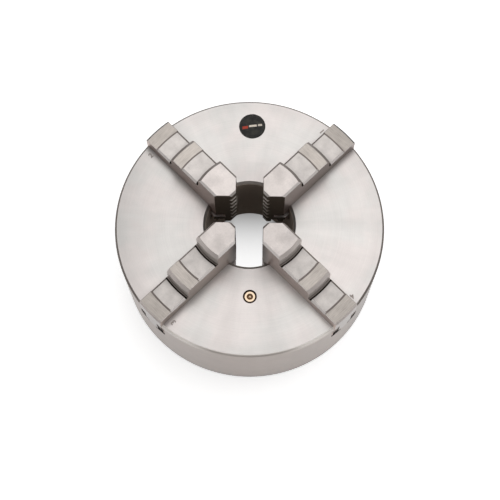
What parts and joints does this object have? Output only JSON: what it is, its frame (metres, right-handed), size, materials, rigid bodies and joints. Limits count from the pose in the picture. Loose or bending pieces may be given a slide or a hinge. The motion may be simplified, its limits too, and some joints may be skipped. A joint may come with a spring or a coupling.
{
  "type": "lathe chuck",
  "caption": "Self-centring scroll chuck with stepped inside jaws; turning a side pinion moves the jaws together to grip round or square work.",
  "frame": {"origin": "centre of the rear face, on the spindle axis", "axes": "+Z out of the front face along the spindle axis, +X along the right-hand pinion, jaws on the diagonals"},
  "size_m": [0.2, 0.2, 0.109],
  "materials": {
    "body_iron": "fine ground face and turned rim",
    "cover_iron": "turned",
    "screw_steel": "black oxide",
    "scroll_steel": "machined and oiled",
    "jaw_steel": "hardened, ground seats, milled sides",
    "pinion_steel": "hardened, dark in the socket",
    "oiler_brass": "turned brass",
    "ball_steel": "polished ball",
    "spring_steel": "wire",
    "badge_metal": "bright disc",
    "badge_gloss": "clear domed resin over black"
  },
  "bodies": {
    "chuck": {"chuck_body": "body_iron", "back_cover": "cover_iron", "cover_screws": "screw_steel", "pinion_screws": "screw_steel", "oiler_body": "oiler_brass", "oiler_spring": "spring_steel", "badge_base": "badge_metal", "badge_dome": "badge_gloss"},
    "scroll": {"scroll_plate": "scroll_steel"},
    "pinion_right": {"pinion_right": "pinion_steel"},
    "pinion_left": {"pinion_left": "pinion_steel"},
    "oiler_ball": {"oiler_ball": "ball_steel"},
    "jaw_1": {"jaw_1": "jaw_steel"},
    "jaw_2": {"jaw_2": "jaw_steel"},
    "jaw_3": {"jaw_3": "jaw_steel"},
    "jaw_4": {"jaw_4": "jaw_steel"}
  },
  "joints": [
    {"name": "scroll_turn", "type": "hinge", "parent": "chuck", "child": "scroll", "pos_m": [0, 0, 0.045], "axis": [0, 0, -1], "range_deg": [-598.5, 1192.5]},
    {"name": "jaw_1_slide", "type": "slide", "parent": "chuck", "child": "jaw_1", "axis": [0.7071, 0.7071, 0], "range_m": [-0.0133, 0.0265]},
    {"name": "jaw_2_slide", "type": "slide", "parent": "chuck", "child": "jaw_2", "axis": [-0.7071, 0.7071, 0], "range_m": [-0.0133, 0.0265]},
    {"name": "jaw_3_slide", "type": "slide", "parent": "chuck", "child": "jaw_3", "axis": [-0.7071, -0.7071, 0], "range_m": [-0.0133, 0.0265]},
    {"name": "jaw_4_slide", "type": "slide", "parent": "chuck", "child": "jaw_4", "axis": [0.7071, -0.7071, 0], "range_m": [-0.0133, 0.0265]},
    {"name": "pinion_right_turn", "type": "hinge", "parent": "chuck", "child": "pinion_right", "pos_m": [0.08, 0, 0.025], "axis": [1, 0, 0], "range_deg": [-3710.8, 7393.6]},
    {"name": "pinion_left_turn", "type": "hinge", "parent": "chuck", "child": "pinion_left", "pos_m": [-0.08, 0, 0.025], "axis": [-1, 0, 0], "range_deg": [-3710.8, 7393.6]},
    {"name": "oiler_press", "type": "slide", "parent": "chuck", "child": "oiler_ball", "axis": [0, 0, -1], "range_m": [0, 0.001], "stiffness_N_per_m": 600, "springref_m": -0.0002, "deforming": ["oiler_spring"]}
  ],
  "couplings": [
    {"joint": "jaw_1_slide", "follows": "scroll_turn", "m_per_rad": 0.0012732},
    {"joint": "jaw_2_slide", "follows": "scroll_turn", "m_per_rad": 0.0012732},
    {"joint": "jaw_3_slide", "follows": "scroll_turn", "m_per_rad": 0.0012732},
    {"joint": "jaw_4_slide", "follows": "scroll_turn", "m_per_rad": 0.0012732},
    {"joint": "pinion_right_turn", "follows": "scroll_turn", "ratio": 6.2},
    {"joint": "pinion_left_turn", "follows": "scroll_turn", "ratio": 6.2}
  ]
}
